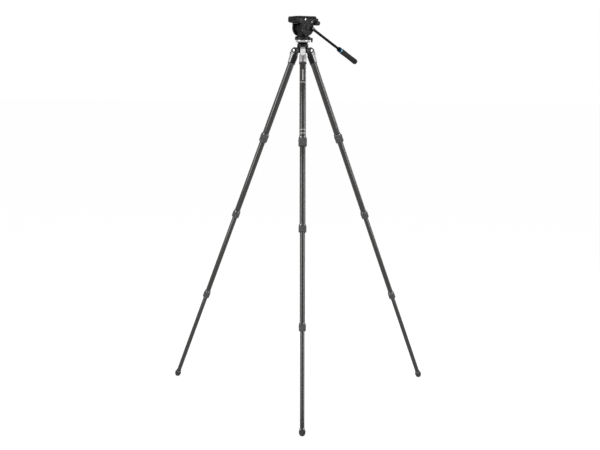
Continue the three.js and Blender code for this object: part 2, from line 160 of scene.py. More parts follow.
def lathe(profile, sides=64, closed=False, ripple=None):
    """Turns [radius, height] points round Z. ripple(angle, radius, height) may change a radius.
    The UV map is in millimetres round and along the piece."""
    bm = bmesh.new()
    uv = bm.loops.layers.uv.new("UVMap")
    rings = []
    for radius, height in profile:
        if radius < 1e-6:
            rings.append([bm.verts.new((0, 0, height))])
            continue
        ring = []
        for k in range(sides):
            angle = 2 * math.pi * k / sides
            r = ripple(angle, radius, height) if ripple else radius
            ring.append(bm.verts.new((r * math.cos(angle), r * math.sin(angle), height)))
        rings.append(ring)
    reference = max(radius for radius, _ in profile)
    run = 0.0
    pairs = list(zip(range(len(rings) - 1), range(1, len(rings))))
    if closed:
        pairs.append((len(rings) - 1, 0))
    for lower, upper in pairs:
        step = (Vector(profile[upper]) - Vector(profile[lower])).length
        for k in range(sides):
            after = (k + 1) % sides
            corners = [(lower, k, 0, 0), (lower, after, 1, 0), (upper, after, 1, 1), (upper, k, 0, 1)]
            unique = []
            for ring, index, right, top in corners:
                vertex = rings[ring][index if len(rings[ring]) > 1 else 0]
                if all(vertex is not other[0] for other in unique):
                    unique.append((vertex, right, top))
            if len(unique) < 3:
                continue
            face = bm.faces.new([entry[0] for entry in unique])
            for loop, (_, right, top) in zip(face.loops, unique):
                turn = (k + right) / sides * 2 * math.pi * reference
                loop[uv].uv = (turn, run + step * top)
        run += step
    bmesh.ops.recalc_face_normals(bm, faces=bm.faces)
    return bm


def prism(outline, low, high, bevel=0.0, steps=2):
    """An outline of [x, y] points raised from z = low to high, with its edges bevelled."""
    bm = bmesh.new()
    bottom = [bm.verts.new((x, y, low)) for x, y in outline]
    top = [bm.verts.new((x, y, high)) for x, y in outline]
    bm.faces.new(bottom[::-1])
    bm.faces.new(top)
    for k in range(len(outline)):
        after = (k + 1) % len(outline)
        bm.faces.new((bottom[k], bottom[after], top[after], top[k]))
    bmesh.ops.recalc_face_normals(bm, faces=bm.faces)
    if bevel:
        soften(bm, bevel, steps)
    return bm


def soften(bm, width, steps=2, sharper_than=30):
    """Bevels every edge that is sharper than an angle."""
    limit = math.radians(sharper_than)
    edges = [edge for edge in bm.edges if len(edge.link_faces) == 2 and edge.calc_face_angle() > limit]
    bmesh.ops.bevel(
        bm, geom=edges, offset=width, segments=steps, profile=0.5, affect="EDGES", clamp_overlap=True
    )
    return bm


def loft(sections, sides=48):
    """A closed skin over sections of (z, x_low, x_high, half_width, squareness)."""
    bm = bmesh.new()
    rings = []
    for z, x_low, x_high, half, square in sections:
        ring = []
        for k in range(sides):
            angle = 2 * math.pi * k / sides
            c, s = math.cos(angle), math.sin(angle)
            x = (x_low + x_high) / 2 + (x_high - x_low) / 2 * math.copysign(abs(c) ** (2 / square), c)
            ring.append(bm.verts.new((x, half * math.copysign(abs(s) ** (2 / square), s), z)))
        rings.append(ring)
    for lower, upper in zip(rings, rings[1:]):
        for k in range(sides):
            after = (k + 1) % sides
            bm.faces.new((lower[k], lower[after], upper[after], upper[k]))
    bm.faces.new(rings[0][::-1])
    bm.faces.new(rings[-1])
    bmesh.ops.recalc_face_normals(bm, faces=bm.faces)
    return bm


def spun(points, corner, sides, closed=False, steps=3, ripple=None):
    """An outline with rounded corners, turned round Z."""
    return lathe(rounded(points, corner, steps, closed), sides, closed, ripple)


def rod(radius, low, high, sides=48):
    return lathe(rectangle(0, radius, low, high), sides)


def washer(bore, rim, low, high, sides=48):
    return lathe(rectangle(bore, rim, low, high), sides, closed=True)


def moved(bm, x=0, y=0, z=0):
    bmesh.ops.translate(bm, verts=bm.verts, vec=(x, y, z))
    return bm


def turned(bm, degrees, axis):
    bmesh.ops.rotate(bm, verts=bm.verts, matrix=Matrix.Rotation(math.radians(degrees), 3, axis))
    return bm


def carried(bm, source, target):
    """Takes a solid from one local frame to another."""
    matrix = Matrix.Scale(1 / MM, 4) @ target.inverted() @ source @ Matrix.Scale(MM, 4)
    bmesh.ops.transform(bm, matrix=matrix, verts=bm.verts)
    return bm


def along_y(bm, side=1):
    """Turns a solid made along +Z so that it lies along +Y, or along -Y for side -1."""
    return turned(bm, -90 if side > 0 else 90, "X")


def along_x(bm):
    """Turns a solid made along +Z so that it lies along +X."""
    return turned(bm, 90, "Y")


def sideways(outline, start, end, bevel=0.0, steps=2):
    """An outline of [x, z] points made as thick as y runs from start to end."""
    low, high = sorted((start, end))
    return turned(prism(outline, -high, -low, bevel, steps), 90, "X")


def lengthwise(outline, low, high, bevel=0.0, steps=2):
    """An outline of [y, z] points made as long as x runs from low to high."""
    bm = prism(outline, low, high, bevel, steps)
    to_x = Matrix(((0, 0, 1), (1, 0, 0), (0, 1, 0)))
    bmesh.ops.transform(bm, matrix=to_x.to_4x4(), verts=bm.verts)
    return bm


def box(x0, x1, y0, y1, z0, z1, bevel=0.0, steps=2):
    return prism(rectangle(x0, x1, y0, y1), z0, z1, bevel, steps)


def hexagon(radius, low, high):
    return prism(arc((0, 0), radius, 0, 300, 5), low, high)


def merged(*parts):
    """Several closed shells in one mesh."""
    whole = parts[0]
    for part in parts[1:]:
        mesh = bpy.data.meshes.new("part")
        part.to_mesh(mesh)
        whole.from_mesh(mesh)
        bpy.data.meshes.remove(mesh)
        part.free()
    return whole


def in_scene(name, data):
    made = bpy.data.objects.new(name, data)
    bpy.context.scene.collection.objects.link(made)
    return made


def as_mesh(name, bm):
    mesh = bpy.data.meshes.new(name)
    bm.to_mesh(mesh)
    bm.free()
    return mesh


def combined(base, *others, how="DIFFERENCE"):
    """Cuts, joins or intersects solids, one after the other."""
    solids = [in_scene("solid", as_mesh("solid", bm)) for bm in (base, *others)]
    for tool in solids[1:]:
        step = solids[0].modifiers.new("step", "BOOLEAN")
        step.operation = how
        step.solver = "EXACT"
        step.object = tool
    depsgraph = bpy.context.evaluated_depsgraph_get()
    mesh = bpy.data.meshes.new_from_object(solids[0].evaluated_get(depsgraph))
    result = bmesh.new()
    result.from_mesh(mesh)
    bpy.data.meshes.remove(mesh)
    for solid in solids:
        mesh = solid.data
        bpy.data.objects.remove(solid)
        bpy.data.meshes.remove(mesh)
    bmesh.ops.remove_doubles(result, verts=result.verts, dist=0.002)
    return result


def add_piece(name, bm, place, body, finish, node=None, sharp=32):
    """Makes a solid into a piece that rides on a body, and hides the CAD node it stands for.
    A finish is a material slot and a material; the piece is given its material."""
    mesh = as_mesh(name, bm)
    mesh.transform(place @ Matrix.Scale(MM, 4))
    mesh.polygons.foreach_set("use_smooth", [True] * len(mesh.polygons))
    mesh.set_sharp_from_angle(angle=math.radians(sharp))
    mesh.materials.append(finish[1])
    piece = in_scene(name, mesh)
    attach(piece, body)
    if node:
        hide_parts(node)


# ---- Materials ----------------------------------------------------------------------------


class Nodes:
    """Short names for the nodes of a material or a world."""

    def __init__(self, tree):
        self.tree = tree

    def link(self, output, socket):
        self.tree.links.new(output, socket)

    def node(self, kind, inputs=None, **settings):
        made = self.tree.nodes.new("ShaderNode" + kind)
        for key, value in settings.items():
            setattr(made, key, value)
        for key, value in (inputs or {}).items():
            if isinstance(value, bpy.types.NodeSocket):
                self.link(value, made.inputs[key])
            else:
                made.inputs[key].default_value = value
        return made

    def spread(self, value, low, high, to_low, to_high):
        """Maps a value from one range to another, without going past its ends."""
        ends = {"From Min": low, "From Max": high, "To Min": to_low, "To Max": to_high}
        return self.node("MapRange", {"Value": value, **ends}).outputs[0]


class Surface(Nodes):
    """A node material: a Principled shader, and short names for what feeds it."""

    def __init__(self, name, color, roughness, metallic=0.0, **constants):
        self.material = bpy.data.materials.new(name)
        self.material.use_nodes = True
        super().__init__(self.material.node_tree)
        self.inputs = self.tree.nodes["Principled BSDF"].inputs
        self.inputs["Base Color"].default_value = (*color, 1)
        self.inputs["Roughness"].default_value = roughness
        self.inputs["Metallic"].default_value = metallic
        for socket, value in constants.items():
            self.inputs[socket.replace("_", " ").title().replace("Ior", "IOR")].default_value = value
        self.material.diffuse_color = (*color, 1)

    def math(self, operation, a, b=0.0, clamp=False):
        return self.node("Math", {0: a, 1: b}, operation=operation, use_clamp=clamp).outputs[0]

    def place(self, kind="Object", scale=(1, 1, 1), turn=(0, 0, 0)):
        source = self.node("TexCoord").outputs[kind]
        return self.node("Mapping", {"Vector": source, "Scale": scale, "Rotation": turn}).outputs[0]

    def noise(self, scale, detail=3.0, kind="Object", stretch=(1, 1, 1), roughness=0.55):
        vector = self.place(kind, stretch)
        settings = {"Vector": vector, "Scale": scale, "Detail": detail, "Roughness": roughness}
        return self.node("TexNoise", settings).outputs["Fac"]

    def cells(self, scale, randomness):
        settings = {"Vector": self.place(), "Scale": scale, "Randomness": randomness}
        return self.node("TexVoronoi", settings).outputs["Distance"]

    def mixed(self, factor, first, second):
        made = self.node("Mix", data_type="RGBA")
        sockets = {item.identifier: item for item in made.inputs}
        for name, value in (("A_Color", first), ("B_Color", second)):
            if isinstance(value, bpy.types.NodeSocket):
                self.link(value, sockets[name])
            else:
                sockets[name].default_value = (*value, 1)
        self.link(factor, sockets["Factor_Float"])
        return next(item for item in made.outputs if item.identifier == "Result_Color")

    def patches(self, scale, detail, edge, first, second, roughness=0.55):
        """Colours it in soft patches; edge is the range of noise in which they blend."""
        blend = self.spread(self.noise(scale, detail, roughness=roughness), *edge, 0.0, 1.0)
        self.link(self.mixed(blend, first, second), self.inputs["Base Color"])

    def dulled(self, noise, low, high, edge=(0.3, 0.7)):
        """Varies its roughness from low to high."""
        self.link(self.spread(noise, *edge, low, high), self.inputs["Roughness"])

    def bump(self, height, distance, strength=1.0):
        """Adds relief, on top of any that is there. distance is in metres."""
        settings = {"Height": height, "Distance": distance, "Strength": strength}
        normal = self.inputs["Normal"]
        if normal.is_linked:
            settings["Normal"] = normal.links[0].from_socket
        self.link(self.node("Bump", settings).outputs[0], normal)


def shaded(color, factor):
    return tuple(channel * factor for channel in color)


def carbon(name="carbon_weave", bands=(), half_turn=0.0):
    """Twill-woven tows under clear resin, on a UV map in millimetres, with painted sheen on the tows.

    bands are painted patches on the outward side: their middle, their length along the tube, and
    how far they reach round it to each side. half_turn is half the tube's way round.
    """
    tint, tow = (0.019, 0.0175, 0.0165), 2.1
    made = Surface(name, tint, 0.30, coat_weight=1.0, coat_roughness=0.14, specular_ior_level=0.6)
    uv = made.place("UV", (1 / tow, 1 / tow, 1), (0, 0, math.radians(45)))
    across, along = made.node("SeparateXYZ", {0: uv}).outputs[:2]
    step = made.math("ADD", made.math("FLOOR", across), made.math("FLOOR", along))
    warp = made.math("LESS_THAN", made.math("FLOORED_MODULO", step, 4.0), 1.5)
    # A tow is highest along its middle: its section is a parabola across its own width.
    crowns = []
    for value in (across, along):
        offset = made.math("SUBTRACT", made.math("FRACT", value), 0.5)
        square = made.math("MULTIPLY", offset, offset)
        crowns.append(made.math("SUBTRACT", 1.0, made.math("MULTIPLY", square, 4.0)))
    crown = made.node("Mix", {0: warp, 2: crowns[0], 3: crowns[1]}, data_type="FLOAT").outputs[0]
    fibre = made.noise(9.0, 2.0, "UV", (6, 0.35, 1))
    # Painted sheen: tows that lie one way are painted lighter than those across them, and each tow is
    # lighter along its crown, where woven carbon catches the light. The fibre noise is grain.
    shade = made.math("ADD", made.math("MULTIPLY", warp, 0.45), made.math("MULTIPLY", crown, 0.35))
    shade = made.math("ADD", shade, made.math("MULTIPLY", fibre, 0.4), clamp=True)
    # The dark and light copies of the tint are the tows' painted shade and painted sheen.
    color = made.mixed(shade, shaded(tint, 0.55), shaded(tint, 1.7))
    if bands:
        round_way, along_way = made.node(
            "SeparateXYZ", {0: made.node("TexCoord").outputs["UV"]}
        ).outputs[:2]
        mask = 0.0
        for middle, length, reach in bands:
            from_middle = made.math("ABSOLUTE", made.math("SUBTRACT", along_way, middle))
            from_back = made.math("ABSOLUTE", made.math("SUBTRACT", round_way, half_turn))
            inside = made.math("LESS_THAN", from_middle, length / 2)
            outward = made.math("GREATER_THAN", from_back, half_turn - reach)
            mask = made.math("MAXIMUM", mask, made.math("MULTIPLY", inside, outward))
        color = made.mixed(mask, color, (0.40, 0.39, 0.38))
    made.link(color, made.inputs["Base Color"])
    made.dulled(made.noise(60.0, 4.0), 0.22, 0.36)
    made.bump(crown, 0.00012, 0.35)
    made.bump(made.noise(900.0, 2.0), 0.00003, 0.4)
    return made.material


def cast_metal():
    """Satin titanium-grey casting, with a fine sandy skin and worn, brighter patches."""
    made = Surface("cast_titanium", (0.34, 0.33, 0.325), 0.38, 0.6)
    made.patches(70.0, 5.0, (0.35, 0.68), (0.36, 0.35, 0.345), (0.46, 0.45, 0.445))
    made.dulled(made.noise(220.0, 4.0), 0.30, 0.46)
    made.bump(made.noise(2600.0, 2.0), 0.00006, 0.5)
    made.bump(made.noise(260.0, 3.0), 0.0001, 0.15)
    return made.material


def satin_metal():
    """Bead-blasted, clear-anodised aluminium: pale and soft, with a fine grain."""
    made = Surface("satin_aluminium", (0.60, 0.595, 0.60), 0.42, 0.35)
    made.patches(60.0, 5.0, (0.35, 0.7), (0.80, 0.79, 0.79), (0.70, 0.69, 0.69))
    made.dulled(made.noise(300.0, 4.0), 0.34, 0.5)
    made.bump(made.noise(3000.0, 2.0), 0.00004, 0.5)
    return made.material


def black_coat():
    """Satin black coat on cast magnesium: a fine pebble, rubbed smoother and paler in places."""
    made = Surface("black_coat", (0.008, 0.008, 0.009), 0.40, specular_ior_level=0.36)
    made.patches(38.0, 6.0, (0.45, 0.8), (0.0034, 0.0034, 0.0040), (0.0085, 0.0085, 0.0096), 0.65)
    made.dulled(made.noise(90.0, 4.0), 0.34, 0.52)
    made.bump(made.cells(1500.0, 1.0), 0.00005, 0.55)
    made.bump(made.noise(120.0, 3.0), 0.00025, 0.12)
    return made.material


def black_plastic():
    """Moulded black nylon with a spark-eroded texture and faint handling marks."""
    made = Surface("moulded_nylon", (0.012, 0.012, 0.013), 0.5, specular_ior_level=0.45)
    made.patches(55.0, 6.0, (0.5, 0.8), (0.010, 0.010, 0.011), (0.020, 0.020, 0.0215), 0.7)
    made.dulled(made.noise(150.0, 5.0), 0.42, 0.62)
    made.bump(made.noise(1900.0, 3.0), 0.00008, 0.45)
    return made.material


def rubber(name="lock_rubber", shade=0.050):
    """Matt rubber: greyer where it is rubbed, with a dull, slightly grainy skin."""
    base = (shade, shade, shade * 1.03)
    made = Surface(name, base, 0.72, specular_ior_level=0.35)
    made.patches(85.0, 6.0, (0.42, 0.75), base, shaded(base, 1.9), 0.7)
    made.dulled(made.noise(240.0, 4.0), 0.62, 0.86)
    made.bump(made.noise(3200.0, 2.0), 0.00008, 0.5)
    return made.material


def machined(name, color, roughness, metallic=1.0, lines=13.0, aniso=0.4):
    """Metal turned on a lathe, with fine rings along the height of its own UV map."""
    made = Surface(name, color, roughness, metallic, anisotropic=aniso)
    height = made.place("UV", (0.02, 1, 1))
    rings = made.node("TexNoise", {"Vector": height, "Scale": lines, "Detail": 2.0}).outputs["Fac"]
    made.patches(60.0, 5.0, (0.35, 0.7), color, shaded(color, 0.86))
    made.dulled(made.noise(45.0, 4.0), roughness * 0.75, roughness * 1.4)
    made.bump(rings, 0.00002, 0.35)
    return made.material


def polished(name, color):
    """Chromed steel with hairline scratches."""
    made = Surface(name, color, 0.12, 1.0)
    scratch = made.noise(40.0, 8.0, "Object", (1, 1, 9), 0.8)
    made.dulled(scratch, 0.08, 0.24, (0.4, 0.75))
    made.patches(90.0, 3.0, (0.35, 0.7), color, (0.66, 0.66, 0.68))
    made.bump(scratch, 0.00001, 0.2)
    return made.material


def grip_foam():
    """Dense charcoal grip rubber with a stippled skin."""
    made = Surface("grip_rubber", (0.020, 0.019, 0.019), 0.78, specular_ior_level=0.3)
    made.patches(30.0, 5.0, (0.4, 0.7), (0.012, 0.0118, 0.0118), (0.022, 0.0215, 0.021))
    made.bump(made.cells(900.0, 0.6), 0.00012, 0.6)
    made.dulled(made.noise(180.0), 0.68, 0.88)
    return made.material


def vial_glass():
    made = Surface("vial_fluid", (0.58, 0.78, 0.10), 0.05, coat_weight=1.0, coat_roughness=0.02)
    made.patches(120.0, 1.0, (0.3, 0.7), (0.50, 0.72, 0.08), (0.66, 0.84, 0.16))
    return made.material


def paint(name, color):
    """Thin marking paint, a little uneven and chipped."""
    made = Surface(name, color, 0.5, specular_ior_level=0.4)
    made.patches(700.0, 4.0, (0.62, 0.66), color, shaded(color, 0.6))
    made.dulled(made.noise(300.0), 0.42, 0.6)
    return made.material


# Finishes: the record's material slot and the material that shows it.
CARBON = ("carbon", carbon())
CAST = ("silver", cast_metal())
SATIN = ("silver", satin_metal())
COAT = ("black_metal", black_coat())
NYLON = ("black_plastic", black_plastic())
RUBBER = ("rubber", rubber())
FOOT_RUBBER = ("rubber", rubber("foot_rubber", 0.028))
PAD_RUBBER = ("rubber", rubber("pad_rubber"))
SILVER = ("silver", machined("machined_silver", (0.70, 0.695, 0.69), 0.26, 0.6))
LINE = ("silver", machined("dull_silver_line", (0.34, 0.34, 0.335), 0.34))
STEEL = ("steel", polished("polished_steel", (0.80, 0.80, 0.81)))
DARK_STEEL = ("steel", polished("black_oxide_steel", (0.10, 0.10, 0.105)))
NAVY = ("navy", machined("navy_anodised", (0.007, 0.026, 0.052), 0.34))
BLUE = ("blue", machined("light_blue_anodised", (0.24, 0.55, 0.76), 0.32))
BAR_COAT = ("black_metal", machined("black_anodised", (0.016, 0.016, 0.017), 0.38, 1.0, 9.0, 0.2))
GRIP = ("rubber", grip_foam())
VIAL = ("vial", vial_glass())
MARK = ("black_metal", paint("pale_marks", (0.34, 0.34, 0.33)))

# ---- Legs ---------------------------------------------------------------------------------

RING_HEIGHT = 7.0  # the metal ring that closes the top of a twist lock
SHOULDER_RING = 5.5
SHOULDER_SPLIT = 0.5  # the shoulder is silver outward of here and black inward of it; the black half is a black part that also paints the shade on the inward side
STRIPE = (92.0, 140.0)  # the pale stripe on the outward side, measured from the pivot
BANDS = (148.0, 358.0, 374.0)
BAND_WIDTH = 2.6
WALL = 1.2
GAP = 0.35  # between a tube and what closes round it
FAR = 60  # past any surface, for a solid that only cuts


def tube_finish(name, number, radius, low):
    """Carbon, with painted bands and a plain stripe on the outward side of each first section."""
    if number > 1:
        return CARBON
    bands = [(low - distance, BAND_WIDTH, radius * 1.1) for distance in BANDS]
    bands.append((low - sum(STRIPE) / 2, STRIPE[1] - STRIPE[0], 2.2))
    return "carbon", carbon(f"carbon_{name}_top", bands, math.pi * radius)


def leg_tube(name, number, body):
    node = f"{name}_leg_tube_{number}"
    low, high = measured(node, LEG[name])
    radius, bore = high.x, high.x - WALL
    profile = [(radius, low.z), (radius, high.z), (bore, high.z), (bore, low.z)]
    add_piece(f"{name}_carbon_tube_{number}", spun(profile, 0.3, 72, True, 2), LEG[name], body,
              tube_finish(name, number, radius, -low.z), node)


def fluted(count, depth, low, high):
    """A ripple with shallow finger grooves between two heights."""
    def ripple(angle, radius, height):
        if not low <= height <= high or radius < 8:
            return radius
        fade = min(1.0, (height - low) / 2.5, (high - height) / 2.5)
        return radius - depth * fade * (0.5 - 0.5 * math.cos(count * angle)) ** 3
    return ripple


def lock_sleeve(tube, low, high, lip):
    """A twist lock's rubber sleeve: rounded shoulders, a slight waist and shallow grip ribs."""
    bottom, top = low.z, high.z - RING_HEIGHT
    grip, bore = high.x, tube + 0.45
    waist = bottom + 0.45 * (top - bottom)
    profile = [(lip, bottom), (grip - 3.4, bottom, 1.2), (grip - 0.5, bottom + 4.6, 3)]
    rows = 8
    for row in range(rows + 1):
        height = bottom + 6.5 + (top - bottom - 13) * row / rows
        bulge = 0.9 * math.cos((height - waist) / (top - bottom) * math.pi)
        profile.append((grip - 0.2 - bulge, height, 0))
    profile += [(grip - 0.4, top - 4.5, 2.5), (grip - 2.6, top, 1.2), (bore, top),
                (bore, bottom + 2.7), (lip, bottom + 2.7)]
    return spun(profile, 0.2, 168, True, ripple=fluted(28, 0.75, bottom + 5.5, top - 5.5))


def lock_ring(tube, top):
    bottom, bore, rim = top - RING_HEIGHT + 0.25, tube + 0.4, tube + 3.0
    profile = [(bore, bottom), (rim, bottom), (rim, bottom + 2.2), (rim - 0.5, bottom + 2.5),
               (rim - 0.5, bottom + 3.1), (rim, bottom + 3.4), (rim - 0.3, top - 1.4),
               (bore + 0.9, top), (bore, top)]
    return spun(profile, 0.25, 96, True, 2)


def leg_lock(name, number, body, upper_body):
    place, node = LEG[name], f"{name}_leg_twist_lock_{number}"
    low, high = measured(node, place)
    tube = measured(f"{name}_leg_tube_{number}", place)[1].x
    lip = measured(f"{name}_leg_tube_{number + 1}", place)[1].x + 0.4
    sleeve = lock_sleeve(tube, low, high, lip)
    add_piece(f"{name}_lock_sleeve_{number}", sleeve, place, body, RUBBER, node, sharp=50)
    # A small index line is moulded proud of the sleeve, near its top.
    top = high.z - RING_HEIGHT
    mark = box(high.x - 0.9, high.x + 0.05, -0.7, 0.7, top - 10.0, top - 4.8, 0.25)
    add_piece(f"{name}_lock_mark_{number}", mark, place, body, FOOT_RUBBER)
    add_piece(f"{name}_lock_ring_{number}", lock_ring(tube, high.z), place, upper_body, DARK_STEEL)
    line = rectangle(tube + 2.5, tube + 3.2, top + 1.4, top + 2.4)
    add_piece(f"{name}_lock_line_{number}", spun(line, 0.2, 96, True, 2), place, upper_body, LINE)


def shoulder_solid(tube):
    """The cast shoulder: a hinge barrel that swells into a socket for the first tube."""
    sections = [
        (12.0, -3.0, 8.5, 9.0, 3.0), (10.0, -6.5, 11.8, 10.6, 3.6), (4.0, -10.4, 13.6, 11.3, 4.5),
        (-6.0, -11.2, 14.6, 11.4, 4.5), (-14.0, -11.6, 15.6, 11.5, 4.2),
        (-18.5, -12.4, 16.2, 12.2, 3.6), (-23.6, -15.4, 17.0, 15.2, 2.6),
        (-31.0, -15.7, 17.6, 15.6, 2.5), (-40.0, -15.8, 17.9, 15.7, 2.4),
        (-50.0, -15.7, 17.4, 15.7, 2.15), (-56.6, -15.6, 16.0, 15.6, 2.0),
    ]
    bolt = along_y(rod(4.3, -20, 20, 40))
    bore = rod(tube + GAP, -70, -24.4, 72)
    pawl = box(8, 24, -5.6, 5.6, -20.6, -11.4, 0.8)
    tab_seat = box(16.6, 24, -11.2, 11.2, -32, 0, 0.6)
    # The outer face carries three long grooves below the tab.
    grooves = []
    for y in (-4.2, 0, 4.2):
        groove = along_x(turned(prism(oblong(20, 1.8), 15.8, 24), 90, "Z"))
        grooves.append(moved(groove, 0, y, -44))
    return combined(loft(sections[::-1], 64), bolt, bore, pawl, tab_seat, *grooves)


def tab_plate(low, high):
    """The angle lock's pull tab: a rounded plate, dished round a small pivot mark."""
    half, top, middle = high.y, high.z, (low.z + high.z) / 2
    outline = [(half - 2, top), (half, top - 2)] + arc((0, low.z + half), half, 0, -180, 20)
    outline += [(-half, top - 2), (-half + 2, top)]
    plate = moved(lengthwise(outline, 0, 3.2, 0.7, 3), high.x - 3.2)
    dish = moved(along_x(washer(4.6, 5.6, -1, 4)), high.x - 0.5, 0, middle)
    finger = moved(along_y(rod(2.2, -7, 7, 32)), high.x + 1.3, 0, low.z + 4.2)
    stud = along_x(spun([(0, 0), (3.1, 0), (3.1, 0.8), (0, 1.3)], 0.4, 40))
    pawl = box(9.6, high.x - 2, -4.9, 4.9, -19.9, -12.1, 0.6)
    return merged(combined(plate, dish, finger), moved(stud, high.x - 0.9, 0, middle), pawl)


def bolt_solid(high):
    """A through bolt with domed heads and a hexagon socket at each end."""
    reach, head = high.y, high.z
    half = [(0, reach), (head - 2.0, reach), (head, reach - 1.0), (head, reach - 2.85),
            (4, reach - 2.85)]
    profile = [(r, -z) for r, z in half] + [(r, z) for r, z in half[::-1]]
    sockets = [hexagon(2.9, end * reach - 2.2, end * reach + 2.2) for end in (-1, 1)]
    return along_y(combined(spun(profile, 0.5, 56), *sockets))


def foot_solid(low, high, tube):
    """A rubber foot: a belled body with two grooves, and a plug that goes up into the tube."""
    z, widest, top = low.z, high.x, high.z - 18.8
    rows = [
        (0, z), (5, z + 0.8, 1), (9.6, z + 4.0, 3), (12.7, z + 10.5, 3),
        (widest - 0.5, z + 14.0, 0.4), (widest - 1.1, z + 14.6), (widest - 1.1, z + 15.4),
        (widest - 0.1, z + 16.0, 0.4), (widest, z + 19.0, 1.5), (widest - 1.0, top, 0.8),
        (tube + 0.9, top), (tube - 1.7, top, 0.2), (tube - 1.7, high.z), (0, high.z),
    ]
    return spun(rows, 0.3, 72)


def under_floor(name):
    """A slab below the floor, in a leg's frame, which cuts its sole flat."""
    stand = LEG[name].translation
    ground = Matrix.Translation((stand.x, stand.y, 0)) @ Matrix.Rotation(azimuth(name), 4, "Z")
    return carried(box(0, 900, -FAR, FAR, -FAR, 0), ground, LEG[name])


def leg(name):
    place, inner = LEG[name], f"{name}_leg"
    sections = [inner, f"{inner}_section_2", f"{inner}_section_3", f"{inner}_section_4"]
    for number, section in enumerate(sections, 1):
        leg_tube(name, number, section)
    for number in (1, 2, 3):
        leg_lock(name, number, f"{inner}_lock_{number}", sections[number - 1])
    tube = measured(f"{inner}_tube_1", place)[1].x
    # Silver outward, black inward: the black piece also stands for the shade on the shoulder's inward
    # side, as painted shade.
    for part, x0, x1, finish, node in (
        ("cover", SHOULDER_SPLIT, FAR, CAST, f"{inner}_shoulder"),
        ("casting", -FAR, SHOULDER_SPLIT - 0.3, COAT, None),
    ):
        solid = combined(shoulder_solid(tube), box(x0, x1, -FAR, FAR, -90, 40), how="INTERSECT")
        add_piece(f"{name}_shoulder_{part}", solid, place, inner, finish, node, sharp=38)
    z, bore = measured(f"{inner}_shoulder", place)[0].z, tube + GAP
    ring = [(bore, z), (tube + 2.3, z), (tube + 2.6, z + 2.4), (tube + 2.1, z + SHOULDER_RING),
            (bore, z + SHOULDER_RING)]
    add_piece(f"{name}_shoulder_ring", spun(ring, 0.5, 96, True), place, inner, RUBBER)
    tab, bolt, foot = f"{inner}_angle_tab", f"{inner}_hip_bolt", f"{inner}_foot"
    add_piece(f"{name}_pull_tab", tab_plate(*measured(tab, place)), place, f"{inner}_tab", SATIN, tab)
    add_piece(f"{name}_hip_bolt_head", bolt_solid(measured(bolt, place)[1]), place, "apex",
              DARK_STEEL, bolt)
    last = measured(f"{inner}_tube_4", place)[1].x
    solid = combined(foot_solid(*measured(foot, place), last), under_floor(name))
    add_piece(f"{name}_rubber_foot", solid, place, sections[3], FOOT_RUBBER, foot)
    end = measured(f"{inner}_twist_lock_3", place)[0].z - 386
    ferrule = rectangle(last + GAP, last + 2.2, end - 6.5, end)
    add_piece(f"{name}_foot_ferrule", spun(ferrule, 0.5, 72, True), place, sections[3], DARK_STEEL)


for leg_name in LEGS:
    leg(leg_name)


# ---- Apex and levelling base: origin on the floor under the tripod's axis -------------------

BALL_HIGH = measured("level_ball", AXIS)[1]
APEX_LOW, APEX_HIGH = measured("apex", AXIS)
HIP = LEG["front"].translation.z / MM
HIP_RADIUS = (LEG["front"].translation - AXIS.translation).xy.length / MM
EAR_INSIDE, EAR_OUTSIDE = 11.9, 18.3


def apex_solid():
    """The apex casting: a waisted hub with a levelling bowl, and a pair of ears for each leg."""
    low, rim, bowl, neck = APEX_LOW.z, APEX_HIGH.z, 24.0, 20.2
    profile = [(0, low), (16.5, low, 1.5), (neck, low + 3.8, 2), (neck, HIP + 7, 3),
               (bowl, HIP + 13.5, 3), (bowl, rim - 7.0, 0.6), (bowl - 0.8, rim - 6.2, 0.4),
               (bowl - 0.8, rim - 5.2, 0.4), (bowl, rim - 4.4, 0.6), (bowl, rim - 0.2, 0.8),
               (bowl - 1.9, rim, 0.5)]
    hub = spun(profile + arc((0, BALL_HIGH.z), 27.7, -38, -90, 10), 0.5, 96)
    outline = [(6, HIP - 10.5), (HIP_RADIUS, HIP - 12), *arc((HIP_RADIUS, HIP), 12, -85, 85, 18),
               (HIP_RADIUS, HIP + 12), (6, HIP + 12.5)]
    ears, slots = [], []
    for name in LEGS:
        facing = math.degrees(azimuth(name))
        for side in (-1, 1):
            ear = sideways(outline, side * EAR_INSIDE, side * EAR_OUTSIDE, 1.1, 3)
            recess = along_y(washer(7.2, 9.6, -0.7, 3))
            moved(recess, HIP_RADIUS, side * EAR_OUTSIDE - (0 if side > 0 else 2.3), HIP)
            ears.append(turned(combined(ear, recess), facing, "Z"))
        slot = along_y(rod(14, -EAR_INSIDE, EAR_INSIDE, 56))
        slots.append(turned(moved(slot, HIP_RADIUS, 0, HIP), facing, "Z"))
    return merged(combined(hub, *slots), *ears)


def ball_solid():
    """The levelling ball's zone, which turns in the bowl."""
    zone = arc((0, BALL_HIGH.z), 25.4, -64, -22, 12)
    return lathe([(0, zone[0][1])] + zone + [(0, zone[-1][1])], 128)


def flange_solid():
    """The ball's broad turned flange, with a fine groove round its rim."""
    top, rim = BALL_HIGH.z, BALL_HIGH.x
    profile = [(0, top - 9.3), (26.8, top - 9.3, 0.3), (28.0, top - 8.8, 1), (rim - 0.3, top - 4.6, 0.8),
               (rim, top - 3.2, 0.4), (rim - 0.5, top - 2.9, 0.2), (rim - 0.5, top - 2.4, 0.2),
               (rim, top - 2.1, 0.4), (rim, top - 0.1, 0.5), (0, top - 0.1)]
    return spun(profile, 0, 128)


